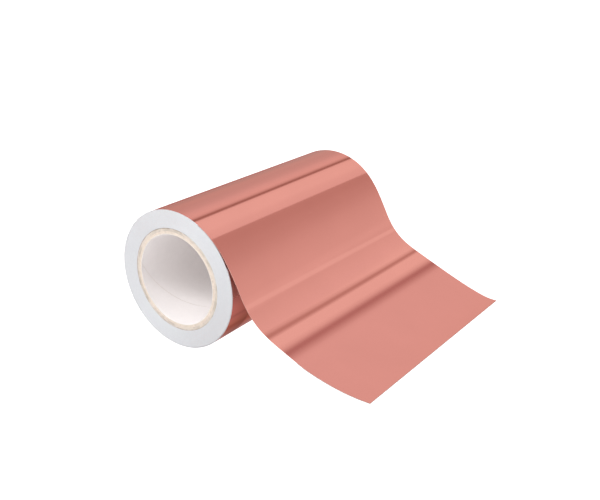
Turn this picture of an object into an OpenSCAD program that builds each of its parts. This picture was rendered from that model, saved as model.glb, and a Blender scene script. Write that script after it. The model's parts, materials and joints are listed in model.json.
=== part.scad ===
// Copper foil tape on a spiral-wound paper core, lying on its side with its free end run out.
// Millimetres, +Z up. The roll's axis is Y, the origin is the centre of the core's bore,
// and the tape runs out towards +X.

/* [Core] */
// Inside diameter of the paper core
core_bore_d = 50.8; // [40:0.1:60]
// Total thickness of the core's paper wall
core_wall = 3.2; // [2:0.1:5]
// Thickness of the white lining ply inside the core
core_inner_ply_t = 0.35; // [0.2:0.05:0.6]
// Thickness of the smooth ply outside the core
core_outer_ply_t = 0.37; // [0.2:0.01:0.6]

/* [Tape] */
// Width of the tape, and length of the core
tape_w = 152.4; // [100:0.1:200]
// Outside diameter of the full roll
roll_d = 77.6; // [70:0.1:90]
// Thickness of the copper foil
foil_t = 0.05; // [0.03:0.01:0.1]
// Thickness of the adhesive under the foil
adhesive_t = 0.03; // [0.02:0.01:0.05]
// Thickness of the paper release liner
liner_t = 0.12; // [0.08:0.01:0.15]
// Clearance between the outer turn and the roll that turns inside it
turn_gap = 0.2; // [0.1:0.05:0.3]

/* [Starter strip] */
// Length of the sticky strip around the core
starter_len = 20; // [10:1:40]
// Thickness of the sticky strip
starter_t = 0.1; // [0.05:0.01:0.2]

/* [Tail] */
// Angle round the roll, above level, where the tail leaves it
leave_angle = 63; // [55:1:75]
// Length of the tail along its near edge, the one towards -Y
tail_near_len = 130; // [125:0.5:140]
// Length of the tail along its far edge
tail_far_len = 132; // [125:0.5:140]
// Distance along the tail at which the loose liner tab starts
tab_start = 88; // [80:1:100]
// Clearance round the loose liner tab
tab_gap = 0.2; // [0.1:0.05:0.3]

/* [Hidden] */

// Colours
foil_colour = [0.85, 0.56, 0.51];
adhesive_colour = [0.90, 0.88, 0.80];
liner_colour = [0.93, 0.93, 0.94];
kraft_colour = [0.88, 0.80, 0.70];
ply_colour = [0.92, 0.90, 0.87];

// Radii, from the bore outwards
bore_r = core_bore_d / 2;
core_r = bore_r + core_wall;
lining_r = bore_r + core_inner_ply_t;
board_r = core_r - core_outer_ply_t;
body_plies = 4;
ply_t = (board_r - lining_r) / body_plies;
roll_r = roll_d / 2;
adhesive_r = roll_r - foil_t;
liner_r = adhesive_r - adhesive_t;
turn_r = liner_r - liner_t;
wound_r = turn_r - turn_gap;
tape_t = roll_r - turn_r;

// Starter strip
starter_angle = starter_len / core_r * 180 / PI;
starter_from = 200;

// Outer turn: it begins where the tail leaves, and stops under the tail, which has lifted
// clear of it this many degrees further round
turn_start = leave_angle + turn_gap / roll_r * 180 / PI;
tail_clear_angle = 40;
turn_end = 360 + leave_angle - tail_clear_angle;

// Bending of the tail, in degrees for each millimetre along it. Over the roll it bends down
// at the roll's own rate, then it bends back up to lie out on the surface.
roll_bend = 180 / PI / roll_r;
tail_bend = [
    [0, roll_bend], [13, 1.35], [26, 0.65], [38, 0.15], [50, -1.55], [62, -1.6],
    [76, -0.05], [90, -0.05], [104, -0.55], [118, -0.8], [131, -0.95]
];
// Lean of the bend lines from square across the tape, in degrees. The last one lies along the cut.
tail_mid_len = (tail_near_len + tail_far_len) / 2;
cut_skew = atan((tail_far_len - tail_near_len) / tape_w);
tail_skew = [[0, 0], [30, -1], [85, -1], [108, 10], [tail_mid_len, cut_skew]];

// The tail is cut into flat strips along its bend lines. A place on the flat tape, s along
// and t across, lies at base + s * along + t * across in the strip's own frame.
strips = 40;
strip_len = tail_mid_len / strips;
tab_strip = round(tab_start / strip_len);

function bend_mid(i) = (i + 0.5) * strip_len;
function fold_line(st, s) = st[1] * tan(lookup(s, tail_skew)) + st[2];
function turned(v, d, a) = v * cos(a) + cross(d, v) * sin(a) + d * (d * v) * (1 - cos(a));
function lifted(st) = cross(st[1], st[2]);

// The frame of the next strip, folded about the bend line of strip i
function folded(st, i) =
    let (s = bend_mid(i))
    let (line = fold_line(st, s))
    let (axis = line / norm(line))
    let (a = lookup(s, tail_bend) * strip_len * cos(lookup(s, tail_skew)))
    let (along = turned(st[1], axis, a))
    let (across = turned(st[2], axis, a))
    [st[0] + s * (st[1] - along), along, across];

tail_start = [
    [roll_r * cos(leave_angle), 0, roll_r * sin(leave_angle)],
    [sin(leave_angle), 0, -cos(leave_angle)],
    [0, 1, 0]
];
frames = [for (i = 0, st = tail_start; i <= strips; st = folded(st, i), i = i + 1) st];

// Cross lines of the tail's top face, each [near point, far point, upward normal]
function cross_line(i) =
    let (st = frames[i], s = bend_mid(i))
    let (mid = st[0] + s * st[1], half = fold_line(st, s) * tape_w / 2)
    let (up = lifted(st) + lifted(frames[i + 1]))
    [mid - half, mid + half, up / norm(up)];
first_line = [
    tail_start[0] - tail_start[2] * tape_w / 2,
    tail_start[0] + tail_start[2] * tape_w / 2,
    lifted(tail_start)
];
last_line = [
    frames[strips][0] + tail_near_len * frames[strips][1] - frames[strips][2] * tape_w / 2,
    frames[strips][0] + tail_far_len * frames[strips][1] + frames[strips][2] * tape_w / 2,
    lifted(frames[strips])
];
tail_lines = concat([first_line], [for (i = [0 : strips - 1]) cross_line(i)], [last_line]);
last = strips + 1;
held_lines = [for (j = [0 : tab_strip]) tail_lines[j]];
// The tab begins a clearance further out than the line where the held liner ends
tab_shift = frames[tab_strip][1] * tab_gap;
tab_from = tail_lines[tab_strip];
tab_line = [tab_from[0] + tab_shift, tab_from[1] + tab_shift, tab_from[2]];
tab_lines = concat([tab_line], [for (j = [tab_strip + 1 : last]) tail_lines[j]]);

// A layer of the tail along a list of cross lines, from depth top to depth bottom under its top face
module tail_layer(lines, top, bottom) {
    n = len(lines) - 1;
    rings = [for (c = lines)
        [c[0] - c[2] * top, c[1] - c[2] * top, c[1] - c[2] * bottom, c[0] - c[2] * bottom]];
    points = [for (r = rings) each r];
    // Corners of each small face, started at the near edge so that top and bottom split the same way
    sides = [for (j = [0 : 4 : 4 * n - 4]) each [
        [j, j + 1, j + 5, j + 4], [j + 1, j + 2, j + 6, j + 5],
        [j + 7, j + 6, j + 2, j + 3], [j + 3, j, j + 4, j + 7]]];
    triangles = [for (q = sides) each [[q[0], q[1], q[2]], [q[0], q[2], q[3]]]];
    ends = [[3, 2, 1], [3, 1, 0], [4 * n, 4 * n + 1, 4 * n + 2], [4 * n, 4 * n + 2, 4 * n + 3]];
    polyhedron(points = points, faces = concat(triangles, ends), convexity = 4);
}

// A round tube about the roll's axis, as wide as the tape
module ring(inner, outer) {
    rotate([90, 0, 0])
        rotate_extrude($fn = 180)
            translate([inner, -tape_w / 2])
                square([outer - inner, tape_w]);
}

// Part of that tube, from one angle to another, counted from +X upwards
module arc_ring(inner, outer, from, to) {
    rotate([90, 0, 0])
        rotate([0, 0, from])
            rotate_extrude(angle = to - from, $fn = 180)
                translate([inner, -tape_w / 2])
                    square([outer - inner, tape_w]);
}

// Outer turn, which stays with the tail while the roll turns inside it
module outer_turn_foil() {
    color(foil_colour)
        arc_ring(adhesive_r, roll_r, turn_start, turn_end);
}

module outer_turn_adhesive() {
    color(adhesive_colour)
        arc_ring(liner_r, adhesive_r, turn_start, turn_end);
}

module outer_turn_liner() {
    color(liner_colour)
        arc_ring(turn_r, liner_r, turn_start, turn_end);
}

// All the turns under the outer one, as one body of foil, adhesive and liner
module wound_tape() {
    color(liner_colour)
        difference() {
            ring(core_r, wound_r);
            arc_ring(core_r - starter_t, core_r + starter_t, starter_from, starter_from + starter_angle);
        }
}

// Double-sided strip that holds the tape's inner end to the core
module starter_strip() {
    color(adhesive_colour)
        arc_ring(core_r, core_r + starter_t, starter_from, starter_from + starter_angle);
}

module core_outer_ply() {
    color(ply_colour)
        ring(board_r, core_r);
}

// Kraft board plies of the core's wall, counted outwards
module core_body_ply(k) {
    color(kraft_colour)
        ring(lining_r + (k - 1) * ply_t, lining_r + k * ply_t);
}

module core_inner_ply() {
    color(ply_colour)
        ring(bore_r, lining_r);
}

// The free end of the tape
module tail_foil() {
    color(foil_colour)
        tail_layer(tail_lines, 0, foil_t);
}

module tail_adhesive() {
    color(adhesive_colour)
        tail_layer(tail_lines, foil_t, foil_t + adhesive_t);
}

module tail_liner() {
    color(liner_colour)
        tail_layer(held_lines, foil_t + adhesive_t, tape_t);
}

// The last of the liner, started by hand so that it can be peeled
module liner_tab() {
    color(liner_colour)
        tail_layer(tab_lines, foil_t + adhesive_t + tab_gap, tape_t + tab_gap);
}

outer_turn_foil();
outer_turn_adhesive();
outer_turn_liner();
wound_tape();
starter_strip();
core_outer_ply();
core_body_ply(1);  // core_body_ply_1
core_body_ply(2);  // core_body_ply_2
core_body_ply(3);  // core_body_ply_3
core_body_ply(4);  // core_body_ply_4
core_inner_ply();
tail_foil();
tail_adhesive();
tail_liner();
liner_tab();
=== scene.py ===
"""Looks of a roll of wide copper foil tape lying on its side with its free end run out over a table.

The roll's axis is Y, the origin is the centre of the core's bore and the tape runs out towards +X.
Lengths are in metres unless a name ends in _mm, and angles are in degrees round Y, from +X upwards.
"""

import json
import math

import bmesh
import bpy
import numpy as np
from mathutils import Matrix, Vector, noise

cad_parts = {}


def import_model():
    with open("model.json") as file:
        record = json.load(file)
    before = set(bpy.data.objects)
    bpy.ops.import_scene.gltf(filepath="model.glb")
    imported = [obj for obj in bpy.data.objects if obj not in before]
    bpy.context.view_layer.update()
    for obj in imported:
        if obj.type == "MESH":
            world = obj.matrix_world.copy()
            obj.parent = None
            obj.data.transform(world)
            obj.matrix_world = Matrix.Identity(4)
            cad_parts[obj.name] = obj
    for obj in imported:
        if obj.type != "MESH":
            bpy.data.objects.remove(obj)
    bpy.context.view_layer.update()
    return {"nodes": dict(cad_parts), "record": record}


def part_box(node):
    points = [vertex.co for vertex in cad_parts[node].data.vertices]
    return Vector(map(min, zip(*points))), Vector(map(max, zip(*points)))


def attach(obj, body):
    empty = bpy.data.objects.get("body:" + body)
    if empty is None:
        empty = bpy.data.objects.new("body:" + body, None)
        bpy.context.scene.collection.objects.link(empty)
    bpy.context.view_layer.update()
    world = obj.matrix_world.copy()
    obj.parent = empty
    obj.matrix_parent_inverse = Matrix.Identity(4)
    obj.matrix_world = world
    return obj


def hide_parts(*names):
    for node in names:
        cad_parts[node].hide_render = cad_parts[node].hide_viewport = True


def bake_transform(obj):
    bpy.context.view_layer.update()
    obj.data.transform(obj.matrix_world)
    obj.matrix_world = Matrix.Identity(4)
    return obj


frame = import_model()

# ---------------------------------------------------------------- sizes taken from the frame
MM = 0.001
BORE = next(m for m in frame["record"]["mounts"] if m["name"] == "core_bore")
HALF_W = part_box("wound_tape")[1].y
BORE_R = BORE["dims"]["r_mm"] * MM
LINING_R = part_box("core_inner_ply")[1].x
BOARD_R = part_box("core_body_ply_4")[1].x
CORE_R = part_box("core_outer_ply")[1].x
ROLL_R = -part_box("outer_turn_foil")[0].x
FLOOR_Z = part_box("outer_turn_foil")[0].z

# Layers of the tape, as in part.scad
FOIL_T = 0.05 * MM
ADHESIVE_T = 0.03 * MM
LINER_T = 0.12 * MM
TAPE_T = FOIL_T + ADHESIVE_T + LINER_T

# Board plies of the core, and the clearance on each side of a ply
BODY_PLIES = 4
PLY_T = (BOARD_R - LINING_R) / BODY_PLIES
PLY_GAP = 0.004 * MM

# The free end of the tape, as in part.scad: bend rates in degrees for each millimetre along it,
# and the lean of the bend lines from square across it
LEAVE_ANGLE = 63
TURN_UNDER_TAIL = 40
TAIL_NEAR_MM = 130
TAIL_FAR_MM = 132
TAB_START_MM = 88
TAB_GAP_MM = 0.2
ROLL_BEND = math.degrees(MM / ROLL_R)
TAIL_BEND = (
    (0, ROLL_BEND), (13, 1.35), (26, 0.65), (38, 0.15), (50, -1.55), (62, -1.6),
    (76, -0.05), (90, -0.05), (104, -0.55), (118, -0.8), (131, -0.95),
)
TAIL_MID_MM = (TAIL_NEAR_MM + TAIL_FAR_MM) / 2
TAIL_L = TAIL_MID_MM * MM
CUT_SKEW = math.degrees(math.atan((TAIL_FAR_MM - TAIL_NEAR_MM) * MM / (2 * HALF_W)))
TAIL_SKEW = ((0, 0), (30, -1), (85, -1), (108, 10), (TAIL_MID_MM, CUT_SKEW))
CAD_STRIPS = 40

# Fineness of the visible meshes
FINE = 5
ACROSS = 24
SHARP_EDGE = math.radians(35)
WELD = 1e-8


def lookup(x, table):
    return float(np.interp(x, [p[0] for p in table], [p[1] for p in table]))


def turned(v, axis, angle):
    """v turned about a unit axis by an angle in radians."""
    return Matrix.Rotation(angle, 3, axis) @ v


def tail_rows(strips):
    """Cross lines of the tail's top face as (near point, far point, normal, distance along)."""
    step = TAIL_MID_MM / strips
    a = math.radians(LEAVE_ANGLE)
    base = Vector((math.cos(a), 0, math.sin(a))) * ROLL_R / MM
    along = Vector((math.sin(a), 0, -math.cos(a)))
    across = Vector((0, 1, 0))
    half = HALF_W / MM
    rows = [(base - across * half, base + across * half, along.cross(across), 0)]
    for i in range(strips):
        s = (i + 0.5) * step
        skew = math.radians(lookup(s, TAIL_SKEW))
        line = along * math.tan(skew) + across
        bend = math.radians(lookup(s, TAIL_BEND)) * step * math.cos(skew)
        middle = base + along * s
        axis = line.normalized()
        next_along, next_across = turned(along, axis, bend), turned(across, axis, bend)
        up = (along.cross(across) + next_along.cross(next_across)).normalized()
        rows.append((middle - line * half, middle + line * half, up, s))
        base = middle - next_along * s
        along, across = next_along, next_across
    rows.append((
        base + along * TAIL_NEAR_MM - across * half,
        base + along * TAIL_FAR_MM + across * half,
        along.cross(across), TAIL_MID_MM,
    ))
    return [(near * MM, far * MM, up, s * MM) for near, far, up, s in rows]


def turn_rows(step):
    """Cross lines of the outer turn's outer face, ending where the tail leaves it. A very short
    last step keeps the shading true up to that line."""
    last_step = 0.02
    sweep = 360 - TURN_UNDER_TAIL
    count = round(sweep / step)
    angles = [LEAVE_ANGLE + sweep - sweep * i / count for i in range(count)]
    angles += [LEAVE_ANGLE + last_step, LEAVE_ANGLE]
    rows = []
    for angle in angles:
        a = math.radians(angle)
        up = Vector((math.cos(a), 0, math.sin(a)))
        point = up * ROLL_R
        side = Vector((0, HALF_W, 0))
        rows.append((point - side, point + side, up, -math.radians(angle - LEAVE_ANGLE) * ROLL_R))
    return rows


# ---------------------------------------------------------------- mesh helpers
def new_piece(name, verts, faces, body, materials, face_materials=None, uvs=None):
    """A mesh object made of one closed body or several, smooth apart from its sharp edges."""
    mesh = bpy.data.meshes.new(name)
    mesh.from_pydata([tuple(v) for v in verts], [], faces)
    for material in materials:
        mesh.materials.append(material)
    if face_materials is not None:
        mesh.polygons.foreach_set("material_index", face_materials)
    if uvs is not None:
        layer = mesh.uv_layers.new(name="tape")
        loops = np.empty(len(mesh.loops), np.int32)
        mesh.loops.foreach_get("vertex_index", loops)
        layer.data.foreach_set("uv", np.asarray(uvs, np.float32)[loops].ravel())
    mesh.polygons.foreach_set("use_smooth", [True] * len(mesh.polygons))
    work = bmesh.new()
    work.from_mesh(mesh)
    bmesh.ops.remove_doubles(work, verts=work.verts, dist=WELD)
    bmesh.ops.dissolve_degenerate(work, edges=work.edges, dist=WELD)
    for edge in work.edges:
        if len(edge.link_faces) == 2 and edge.calc_face_angle(0) > SHARP_EDGE:
            edge.smooth = False
    work.to_mesh(mesh)
    work.free()
    mesh.update()
    piece = bpy.data.objects.new(name, mesh)
    bpy.context.scene.collection.objects.link(piece)
    if body:
        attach(piece, body)
    return piece


def rim(faces):
    """The directed edges that only one face has, in the faces' order."""
    edges = dict.fromkeys((a, b) for face in faces for a, b in zip(face, face[1:] + face[:1]))
    return [(a, b) for a, b in edges if (b, a) not in edges]


def layer_mesh(rows, top, bottom):
    """One layer of the tape along cross lines, from depth top to depth bottom under its face.
    Its cut edges get the second material."""
    verts, uvs = [], []
    for depth in (top, bottom):
        for near, far, up, s in rows:
            for j in range(ACROSS + 1):
                t = j / ACROSS
                verts.append(near.lerp(far, t) - up * depth)
                uvs.append((s, (t - 0.5) * 2 * HALF_W))
    width = ACROSS + 1
    sheet = []
    for i in range(len(rows) - 1):
        for j in range(ACROSS):
            a = i * width + j
            sheet.append((a, a + width, a + width + 1, a + 1))
    under = len(rows) * width
    faces = sheet + [tuple(under + v for v in reversed(face)) for face in sheet]
    walls = [(b, a, a + under, b + under) for a, b in rim(sheet)]
    return verts, faces + walls, uvs, [0] * len(faces) + [1] * len(walls)


# ---------------------------------------------------------------- materials
# Where a noise texture's values mostly lie
NOISE = (0.3, 0.7)


def shader(name):
    """A material, its node tree and its Principled shader."""
    material = bpy.data.materials.new(name)
    material.use_nodes = True
    tree = material.node_tree
    return material, tree, tree.nodes["Principled BSDF"]


def link(tree, start, output, end, socket):
    tree.links.new(start.outputs[output], end.inputs[socket])


def grain(tree, kind, scale, detail=3, rough=0.6):
    """A noise texture over Object or UV coordinates, with features 1 / scale metres across."""
    place = tree.nodes.new("ShaderNodeTexCoord")
    stretch = tree.nodes.new("ShaderNodeMapping")
    stretch.inputs["Scale"].default_value = scale
    texture = tree.nodes.new("ShaderNodeTexNoise")
    texture.inputs["Scale"].default_value = 1
    texture.inputs["Detail"].default_value = detail
    texture.inputs["Roughness"].default_value = rough
    link(tree, place, kind, stretch, "Vector")
    link(tree, stretch, "Vector", texture, "Vector")
    return texture


def ramp(tree, source, output, stops):
    """A colour ramp of (position, colour) stops over a value."""
    band = tree.nodes.new("ShaderNodeValToRGB")
    elements = band.color_ramp.elements
    while len(elements) < len(stops):
        elements.new(0.5)
    for element, (position, colour) in zip(elements, stops):
        element.position = position
        element.color = (*colour, 1)
    link(tree, source, output, band, "Fac")
    return band


def spread(tree, source, output, start, end):
    """A value stretched from a range start to a range end, each (low, high)."""
    node = tree.nodes.new("ShaderNodeMapRange")
    for name, value in zip(("From Min", "From Max", "To Min", "To Max"), (*start, *end)):
        node.inputs[name].default_value = value
    link(tree, source, output, node, "Value")
    return node


def bumped(tree, bsdf, height, output, strength, distance):
    """Bumps on a shader from a value, up to distance high."""
    bump = tree.nodes.new("ShaderNodeBump")
    bump.inputs["Strength"].default_value = strength
    bump.inputs["Distance"].default_value = distance
    link(tree, height, output, bump, "Height")
    link(tree, bump, "Normal", bsdf, "Normal")


def between(*colours):
    """Ramp stops that spread noise between two colours."""
    return list(zip(NOISE, colours))


def varied(colour, share):
    """Ramp stops over noise that vary a colour by a share of itself."""
    return between(*(tuple(c * by for c in colour) for by in (1 - share, 1 + share)))


COPPER = (0.75, 0.315, 0.262)


def copper_foil():
    """Bright rolled copper: fine lines along the tape and faint cloudiness."""
    material, tree, bsdf = shader("copper_foil")
    bsdf.inputs["Metallic"].default_value = 1
    lines = grain(tree, "UV", (25, 2600, 1))
    clouds = grain(tree, "UV", (30, 30, 1), detail=2)
    tint = ramp(tree, clouds, "Fac", varied(COPPER, 0.015))
    link(tree, tint, "Color", bsdf, "Base Color")
    bsdf.inputs["Specular Tint"].default_value = (0.92, 0.72, 0.66, 1)
    gloss = spread(tree, lines, "Fac", NOISE, (0.07, 0.11))
    link(tree, gloss, "Result", bsdf, "Roughness")
    bumped(tree, bsdf, lines, "Fac", 0.04, 0.00002)
    return material


def paper(name, colour, roughness, scale, bump, contrast=0.02, dark_patch=None):
    """Paper or board: mottled fibres in its colour, sheen and surface, with darker patches at random
    where a patch colour is given."""
    material, tree, bsdf = shader(name)
    fibres = grain(tree, "Object", scale, detail=6, rough=0.7)
    stops = ((0.45, colour), (0.60, dark_patch)) if dark_patch else varied(colour, contrast)
    tint = ramp(tree, fibres, "Fac", stops)
    link(tree, tint, "Color", bsdf, "Base Color")
    gloss = spread(tree, fibres, "Fac", NOISE, (roughness - 0.05, roughness + 0.05))
    link(tree, gloss, "Result", bsdf, "Roughness")
    bsdf.inputs["Specular IOR Level"].default_value = 0.3
    bumped(tree, bsdf, fibres, "Fac", bump, 0.0001)
    return material


def adhesive_film():
    """Clear tacky adhesive, slightly yellow."""
    material, tree, bsdf = shader("adhesive")
    patches = grain(tree, "Object", (400, 400, 400))
    tint = ramp(tree, patches, "Fac", between((0.80, 0.76, 0.66), (0.86, 0.83, 0.75)))
    link(tree, tint, "Color", bsdf, "Base Color")
    bsdf.inputs["Roughness"].default_value = 0.25
    bsdf.inputs["Transmission Weight"].default_value = 0.3
    bumped(tree, bsdf, patches, "Fac", 0.2, 0.00005)
    return material


FOIL = copper_foil()
ADHESIVE = adhesive_film()
LINER = paper("release_liner", (0.80, 0.81, 0.83), 0.5, (700, 700, 700), 0.1)
LINER_EDGE = paper("liner_edge", (0.675, 0.695, 0.715), 0.6, (900, 900, 900), 0.2, 0.03)
FOIL_EDGE = paper("foil_edge", (0.70, 0.58, 0.55), 0.4, (900, 900, 900), 0.1, 0.05)
CUT_EDGE = paper("cut_edge", (0.66, 0.38, 0.32), 0.5, (900, 900, 900), 0.1, 0.05)
LINING = paper("lining_paper", (0.928, 0.895, 0.885), 0.7, (350, 350, 350), 0.3)
# The outer paper and the two outer board plies get darker patches at random, from noise
OUTER_PAPER = paper(
    "outer_paper", (0.68, 0.64, 0.58), 0.7, (240, 240, 240), 0.5, dark_patch=(0.45, 0.38, 0.30))
LINING_EDGE = paper("lining_edge", (0.77, 0.71, 0.64), 0.7, (600, 500, 600), 0.4)
BOARD = paper("core_board", (0.725, 0.635, 0.545), 0.8, (600, 500, 600), 0.8, 0.15)
OUTER_BOARD = paper(
    "core_board_outer", (0.71, 0.63, 0.55), 0.8, (150, 150, 150), 0.8, dark_patch=(0.55, 0.49, 0.42))


# ---------------------------------------------------------------- tape: outer turn and free end
def tape_layers(prefix, rows, body, liner_rows, edge):
    """The foil, adhesive and liner along some cross lines, standing for the CAD's own, with their
    cut edges in the material edge."""
    layers = (
        ("foil", rows, 0, FOIL_T, FOIL, "copper_foil"),
        ("adhesive", rows, FOIL_T, FOIL_T + ADHESIVE_T, ADHESIVE, "adhesive"),
        ("liner", liner_rows, FOIL_T + ADHESIVE_T, TAPE_T, LINER, "release_liner"),
    )
    pieces = []
    for kind, lines, top, bottom, material, slot in layers:
        verts, faces, uvs, kinds = layer_mesh(lines, top, bottom)
        piece = new_piece(
            f"{prefix}_{kind}_sheet", verts, faces, body, [material, edge], kinds, uvs)
        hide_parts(f"{prefix}_{kind}")
        pieces.append(piece)
    return pieces


outer_rows = turn_rows(1)
tape_layers("outer_turn", outer_rows, "web", outer_rows, LINER_EDGE)

free_rows = tail_rows(CAD_STRIPS * FINE)
tab_row = round(TAB_START_MM / TAIL_MID_MM * CAD_STRIPS) * FINE
HELD_LINER_L = free_rows[tab_row][3]


def tail():
    """The free end's foil, adhesive and held liner."""
    lengths = (TAIL_L, TAIL_L, HELD_LINER_L)
    supports = ("tail_adhesive", "tail_liner", "outer_turn_foil")
    pieces = tape_layers("tail", free_rows, None, free_rows[: tab_row + 1], CUT_EDGE)
    for piece, length, support in zip(pieces, lengths, supports):
        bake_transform(piece)


def liner_tab():
    """The loose end of the liner, a clearance below the adhesive and beyond the held liner."""
    lift = TAB_GAP_MM * MM
    near, far, up, s = free_rows[tab_row]
    shift = (free_rows[tab_row + 1][0] - near).normalized() * lift
    rows = [(near + shift, far + shift, up, s)] + free_rows[tab_row + 1 :]
    depth = FOIL_T + ADHESIVE_T + lift
    verts, faces, uvs, kinds = layer_mesh(rows, depth, depth + LINER_T)
    piece = new_piece(
        "liner_tab_sheet", verts, faces, "liner_flap", [LINER, CUT_EDGE], kinds, uvs)
    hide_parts("liner_tab")


tail()
liner_tab()


# ---------------------------------------------------------------- wound tape with its spiral ends
def wound_tape():
    """The turns under the outer one: each end face is one spiral of liner and foil edges."""
    turns, segments = 49, 144
    clearance, groove, slip = 0.02 * MM, 0.05 * MM, 0.03 * MM
    inner, outer = CORE_R, ROLL_R - TAPE_T - clearance
    pitch = (outer - inner) / (turns + 1)
    # Across one turn, outwards: share of the pitch, depth under the end face, and whether the
    # strip from here outwards is foil
    profile = ((0, groove, False), (0.12, 0, False), (0.82, 0, False), (0.9, groove, True))
    columns = turns * segments
    end, index = [], {}
    for m in range(columns + segments + 1):
        angle = math.radians(LEAVE_ANGLE) - 2 * math.pi * m / segments
        for p, (share, depth, _) in enumerate(profile):
            if m > columns and p:
                continue
            radius = inner + pitch * (m / segments + share)
            # Each turn is slipped a little along the axis, much as its neighbours are
            place = Vector((math.cos(angle), math.sin(angle), 0.35 * m / segments))
            index[(m, p)] = len(end)
            end.append((
                radius * math.cos(angle), depth + slip * noise.noise(place * 1.7),
                radius * math.sin(angle)))
    faces, kinds = [], []
    for m in range(columns):
        line, after = (
            [index[(n, p)] for p in range(len(profile))] + [index[(n + segments, 0)]]
            for n in (m, m + 1))
        for p, (_, _, foil) in enumerate(profile):
            faces.append((line[p], line[p + 1], after[p + 1], after[p]))
            kinds.append(int(foil))
    under = len(end)
    verts = [(x, -HALF_W + y, z) for x, y, z in end] + [(x, HALF_W - y, z) for x, y, z in end]
    near = [tuple(reversed(face)) for face in faces]
    far = [tuple(under + v for v in face) for face in faces]
    walls = [(b, a, a + under, b + under) for a, b in rim(near)]
    piece = new_piece(
        "wound_tape_turns", verts, near + far + walls, "roll",
        [LINER_EDGE, FOIL_EDGE, FOIL], kinds + kinds + [2] * len(walls))
    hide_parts("wound_tape")


wound_tape()


# ---------------------------------------------------------------- core
def ply_tube(name, node, inner, outer, material, seed, ragged):
    """A ply of the core: a tube whose cut ends are ragged by up to about ragged."""
    segments = 360
    chamfer = min(0.06 * MM, (outer - inner) / 4)
    # From the outside in: radius, depth under the end face, and share of the raggedness
    lines = (
        (outer - PLY_GAP, chamfer, 0.3), (outer - PLY_GAP - chamfer, 0, 1),
        ((inner + outer) / 2, 0, 1), (inner + PLY_GAP + chamfer, 0, 1),
        (inner + PLY_GAP, chamfer, 0.3),
    )
    loop = [(r, side, depth, share) for side in (-1, 1)
            for r, depth, share in (lines if side < 0 else reversed(lines))]
    verts = []
    for i in range(segments):
        a = 2 * math.pi * i / segments
        for r, side, depth, share in loop:
            where = Vector((math.cos(a) * 14, math.sin(a) * 14, r / MM * 2.5 + seed + side))
            tear = ragged * share * (noise.noise(where) + 0.6 * noise.noise(where * 3.1))
            y = side * (HALF_W - depth - abs(tear))
            verts.append((r * math.cos(a), y, r * math.sin(a)))
    count = len(loop)
    faces = []
    for i in range(segments):
        j = (i + 1) % segments
        for k in range(count):
            n = (k + 1) % count
            faces.append((i * count + k, j * count + k, j * count + n, i * count + n))
    piece = new_piece(name, verts, faces, "roll", [material])
    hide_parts(node)


def lining_strip():
    """The lining ply: one paper strip wound as a helix, with its edges butted. The joint meets the
    near end at joint_angle."""
    pitch, joint = 90 * MM, 0.16 * MM
    joint_angle = math.radians(170)
    per_turn, rows = 240, 16
    turns = 2 * HALF_W / pitch + 1
    columns = round(turns * per_turn)
    width = rows + 1
    verts, faces = [], []
    for radius in (BORE_R, LINING_R - PLY_GAP):
        for i in range(columns + 1):
            a = joint_angle + 2 * math.pi * i / per_turn
            for k in range(width):
                y = -HALF_W - pitch + pitch * i / per_turn + (pitch - joint) * k / rows
                y = min(max(y, -HALF_W), HALF_W)
                verts.append((radius * math.cos(a), y, radius * math.sin(a)))
    for i in range(columns):
        for k in range(rows):
            a, b = i * width + k, (i + 1) * width + k
            corners = (a, b, b + 1, a + 1)
            ys = [verts[c][1] for c in corners]
            if max(ys) - min(ys) > 10 * WELD:
                faces.append(corners)
    under = (columns + 1) * width
    outside = [tuple(under + v for v in reversed(face)) for face in faces]
    walls = [(b, a, a + under, b + under) for a, b in rim(faces)]
    kinds = [0] * (2 * len(faces)) + [1] * len(walls)
    piece = new_piece(
        "lining_strip", verts, faces + outside + walls, "roll", [LINING, LINING_EDGE],
        kinds)
    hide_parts("core_inner_ply")


def core():
    """The outer ply, the board plies from the inside out, and the lining."""
    ply_tube(
        "outer_ply_tube", "core_outer_ply", BOARD_R, CORE_R, OUTER_PAPER, 1, 0.10 * MM)
    for k in range(BODY_PLIES):
        ply_tube(
            f"board_ply_tube_{k + 1}", f"core_body_ply_{k + 1}", LINING_R + k * PLY_T,
            LINING_R + (k + 1) * PLY_T, BOARD if k < BODY_PLIES / 2 else OUTER_BOARD,
            10 * (k + 1), 0.14 * MM)
    lining_strip()


core()
starter = frame["nodes"]["starter_strip"].data.materials
starter.clear()
starter.append(ADHESIVE)


# ---------------------------------------------------------------- camera
def camera():
    """The photo's viewpoint: to the right of the roll's near end and above it."""
    azimuth, elevation = math.radians(34.85), math.radians(21.35)
    back = Vector((
        math.sin(azimuth) * math.cos(elevation), -math.cos(azimuth) * math.cos(elevation),
        math.sin(elevation)))
    right = Vector((math.cos(azimuth), math.sin(azimuth), 0))
    up = back.cross(right)
    data = bpy.data.cameras.new("camera")
    data.lens = 47.32
    data.sensor_width = 36
    data.clip_start = 0.01
    thing = bpy.data.objects.new("camera", data)
    bpy.context.scene.collection.objects.link(thing)
    turn = Matrix((right, up, back)).transposed().to_4x4()
    thing.matrix_world = Matrix.Translation((0.2732, -0.3534, 0.1671)) @ turn
    bpy.context.scene.camera = thing


camera()


# ---------------------------------------------------------------- floor, cards and light
def stage_plane(name, corners, material):
    mesh = bpy.data.meshes.new(name)
    mesh.from_pydata(corners, [], [(0, 1, 2, 3)])
    layer = mesh.uv_layers.new(name="card")
    for loop, uv in zip(layer.data, ((0, 0), (1, 0), (1, 1), (0, 1))):
        loop.uv = uv
    mesh.materials.append(material)
    thing = bpy.data.objects.new(name, mesh)
    bpy.context.scene.collection.objects.link(thing)
    return thing


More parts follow.
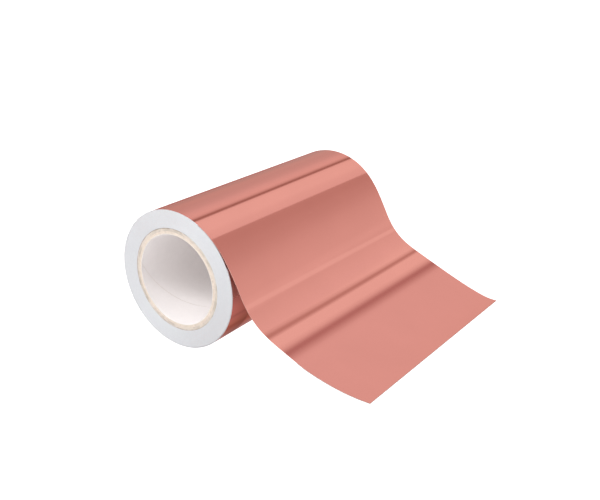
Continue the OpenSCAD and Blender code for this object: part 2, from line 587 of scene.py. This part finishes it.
def ground(name, glow, seen):
    """The floor that the camera sees, or the one that only lights the object and shows in it."""
    material, tree, bsdf = shader(name)
    cloud = grain(tree, "Object", (3, 3, 3))
    tint = ramp(tree, cloud, "Fac", between((0.84, 0.84, 0.84), (0.86, 0.86, 0.86)))
    link(tree, tint, "Color", bsdf, "Base Color")
    bsdf.inputs["Roughness"].default_value = 0.9
    bsdf.inputs["Specular IOR Level"].default_value = 0
    bsdf.inputs["Emission Color"].default_value = (1, 1, 1, 1)
    bsdf.inputs["Emission Strength"].default_value = glow
    reach, clearance = 12, 0.1 * MM
    low = FLOOR_Z - clearance
    corners = [(x * reach, y * reach, low) for x, y in ((-1, -1), (1, -1), (1, 1), (-1, 1))]
    plane = stage_plane(name, corners, material)
    plane.visible_camera = seen
    plane.visible_diffuse = plane.visible_glossy = plane.visible_shadow = not seen


def card(name, low_line, high_line, stops):
    """A glowing strip that only reflections see, and only from its front: a painted reflection.
    Stops run from its low line to its high one, each (share of the way, colour, cover)."""
    material = bpy.data.materials.new(name)
    material.use_nodes = True
    tree = material.node_tree
    tree.nodes.clear()
    out = tree.nodes.new("ShaderNodeOutputMaterial")
    glow = tree.nodes.new("ShaderNodeEmission")
    clear = tree.nodes.new("ShaderNodeBsdfTransparent")
    mix = tree.nodes.new("ShaderNodeMixShader")
    side = tree.nodes.new("ShaderNodeMixShader")
    face = tree.nodes.new("ShaderNodeNewGeometry")
    place = tree.nodes.new("ShaderNodeTexCoord")
    split = tree.nodes.new("ShaderNodeSeparateXYZ")
    link(tree, place, "UV", split, "Vector")
    tint = ramp(tree, split, "Y", [(share, colour) for share, colour, _ in stops])
    cover = ramp(tree, split, "Y", [(share, (alpha,) * 3) for share, _, alpha in stops])
    link(tree, tint, "Color", glow, "Color")
    link(tree, cover, "Color", mix, "Fac")
    link(tree, clear, "BSDF", mix, 1)
    link(tree, glow, "Emission", mix, 2)
    link(tree, face, "Backfacing", side, "Fac")
    link(tree, mix, "Shader", side, 1)
    link(tree, clear, "BSDF", side, 2)
    link(tree, side, "Shader", out, "Surface")
    plane = stage_plane(name, [*low_line, *reversed(high_line)], material)
    plane.visible_camera = plane.visible_diffuse = plane.visible_shadow = False


def world():
    """Soft light that depends on the angle round Y, and is dimmer towards -Y where the key is."""
    sky = bpy.data.worlds.new("studio")
    sky.use_nodes = True
    bpy.context.scene.world = sky
    tree = sky.node_tree
    place = tree.nodes.new("ShaderNodeTexCoord")
    split = tree.nodes.new("ShaderNodeSeparateXYZ")
    angle = tree.nodes.new("ShaderNodeMath")
    angle.operation = "ARCTAN2"
    link(tree, place, "Generated", split, "Vector")
    link(tree, split, "Z", angle, 0)
    link(tree, split, "X", angle, 1)
    span = spread(tree, angle, "Value", (0, math.pi), (0, 1))
    # Angle in degrees up from +X, and colour
    stops = (
        (0, (0.96, 0.92, 0.92)), (27, (0.965, 0.93, 0.93)), (38, (0.91, 0.86, 0.86)),
        (48, (0.94, 0.90, 0.90)), (57, (0.965, 0.93, 0.93)), (68, (0.99, 0.96, 0.97)),
        (76, (1.01, 0.99, 0.99)), (84, (1.06, 1.06, 1.06)), (100, (1.06, 1.06, 1.06)),
        (106, (1.02, 1.00, 1.01)), (118, (0.97, 0.92, 0.93)), (127, (0.92, 0.89, 0.92)),
        (135, (0.82, 0.80, 0.83)), (146, (0.76, 0.74, 0.77)), (160, (0.75, 0.70, 0.71)),
        (175, (0.62, 0.55, 0.55)), (180, (0.60, 0.45, 0.43)),
    )
    band = ramp(tree, span, "Result", [(a / 180, colour) for a, colour in stops])
    link(tree, band, "Color", tree.nodes["Background"], "Color")
    dim = spread(tree, split, "Y", (-0.9, -0.1), (0.45, 1))
    link(tree, dim, "Result", tree.nodes["Background"], "Strength")


def soft_lamp(name, place, aim, energy):
    """A round soft light that reflections don't see."""
    data = bpy.data.lights.new(name, "AREA")
    data.shape = "DISK"
    data.size = 0.5
    data.energy = energy
    lamp = bpy.data.objects.new(name, data)
    bpy.context.scene.collection.objects.link(lamp)
    ray = (aim - place).to_track_quat("-Z", "Y").to_matrix().to_4x4()
    lamp.matrix_world = Matrix.Translation(place) @ ray
    lamp.visible_glossy = False


def leaning(point, slope, ends=(0.5, -0.3)):
    """Two ends of a line near a point (x, y, z in mm) that leans by slope (x, z) for each unit of Y.
    With the far end first, a card faces +X if it stands and up if it lies; with the near end
    first, the other way."""
    x, y, z = (v * MM for v in point)
    return [(x + slope[0] * (end - y), end, z + slope[1] * (end - y)) for end in ends]


def overhead(point, slope):
    return leaning(point, slope, (-0.3, 0.5))


def roll_cards():
    """Cards that show in the roll's top and shoulder, and in its side below the tail."""
    # Seen by the shoulder only, from its -X side
    rose = (0.68, 0.56, 0.545)
    card("flag", leaning((58, 0, 3.5), (0, 0.01)), leaning((58, 0, 106), (0, -0.093)),
         ((0, rose, 0), (0.02, rose, 0.18), (0.06, rose, 0.27), (0.12, rose, 0.41),
          (0.19, rose, 0.61), (0.28, rose, 0.8), (0.41, rose, 0.97), (0.5, rose, 1), (1, rose, 1)))
    # The dark line along the top of the roll
    gap = (0.43, 0.30, 0.27)
    card("gap", overhead((-16, 0, 88), (-0.012, 0)), overhead((1.5, 0, 88), (-0.008, 0)),
         ((0, gap, 0), (0.25, gap, 0.15), (0.45, gap, 0.5), (0.62, gap, 1), (0.8, gap, 1),
          (1, gap, 0)))
    # A painted reflection of the table beyond the roll, darker and redder than the table is, which
    # shows in its far outline only
    beyond, reach = (0.54, 0.30, 0.28), (4, -0.3)
    table_z = FLOOR_Z / MM + 0.2
    card("beyond", leaning((-3000, 0, table_z), (0, 0), reach),
         leaning((-60, 0, table_z), (0, 0), reach), ((0, beyond, 1), (1, beyond, 1)))
    # Painted shade of the table under the roll's side, tinted by light bounced from the copper, as
    # the side reflects it, and a painted shadow of the tail's near edge over it
    # Painted shade: the table's colour in shade with copper-tinted bounce light, with darker painted
    # bands along it
    table = (0.59, 0.39, 0.385)
    card("table", leaning((-20, 0, table_z), (0, 0)), leaning((132, 0, table_z), (0, 0)),
         ((0, table, 1), (0.25, table, 1), (0.28, (0.45, 0.34, 0.35), 1),
          (0.305, (0.51, 0.33, 0.31), 1), (0.337, (0.39, 0.22, 0.19), 1),
          (0.361, (0.54, 0.37, 0.32), 1), (0.408, table, 1), (0.428, (0.43, 0.29, 0.28), 1),
          (0.447, table, 1), (0.526, table, 1), (0.629, (0.50, 0.34, 0.35), 1),
          (0.747, (0.44, 0.28, 0.28), 1), (1, (0.37, 0.23, 0.24), 1)))
    shade = (0.24, 0.15, 0.13)
    shade_z = table_z + 0.2
    edges = [[(x * MM, y * MM, shade_z * MM) for x, y in line]
             for line in (((0, -80), (150, 23)), ((0, -62), (150, 41)))]
    card("shade", *edges, ((0, shade, 0), (1, shade, 0.75)))


def tail_cards():
    """Cards that show in the tail: two dark bands, an even panel and a thin bright line."""
    dark, soft = (0.58, 0.42, 0.43), (0.66, 0.54, 0.52)
    even, bright = (0.944, 0.902, 0.92), (1.03, 1.03, 1.03)
    card("wide_band", overhead((69.5, 0, 0), (0.035, 0)), overhead((81.5, 0, 0), (0.035, 0)),
         ((0, dark, 0), (0.17, dark, 0.25), (0.30, dark, 0.7), (0.38, dark, 1), (0.47, dark, 1),
          (0.65, (0.75, 0.65, 0.66), 1), (0.85, (0.92, 0.87, 0.89), 1), (1, even, 1)))
    card("panel", overhead((81.5, 0, 0), (0.035, 0)), overhead((180, 0, 0), (0, 0)),
         ((0, even, 1), (1, even, 1)))
    card("thin_band", overhead((61, 0, -8), (0.021, 0)), overhead((65, 0, -8), (0.021, 0)),
         ((0, soft, 0), (0.3, soft, 0.4), (0.5, soft, 1), (0.66, soft, 1), (1, soft, 0)))
    # Seen where the tail turns out from under the roll
    card("bright_line", leaning((56, 0, 0), (0, -0.0016)), leaning((56, 0, 1.6), (0, -0.0016)),
         ((0, bright, 1), (1, bright, 1)))


ground("floor", 0.85, True)
ground("floor_bounce", 0, False)
world()
# The key reaches into the near end of the core, and the fill into its far end
soft_lamp("key", Vector((-0.15, -0.72, 0.75)), Vector((0, -HALF_W, 0)), 6.4)
soft_lamp("fill", Vector((0.35, 0.8, 0.12)), Vector((0, HALF_W, 0)), 4.2)
roll_cards()
tail_cards()

scene = bpy.context.scene
scene.view_settings.view_transform = "Standard"
scene.view_settings.look = "None"
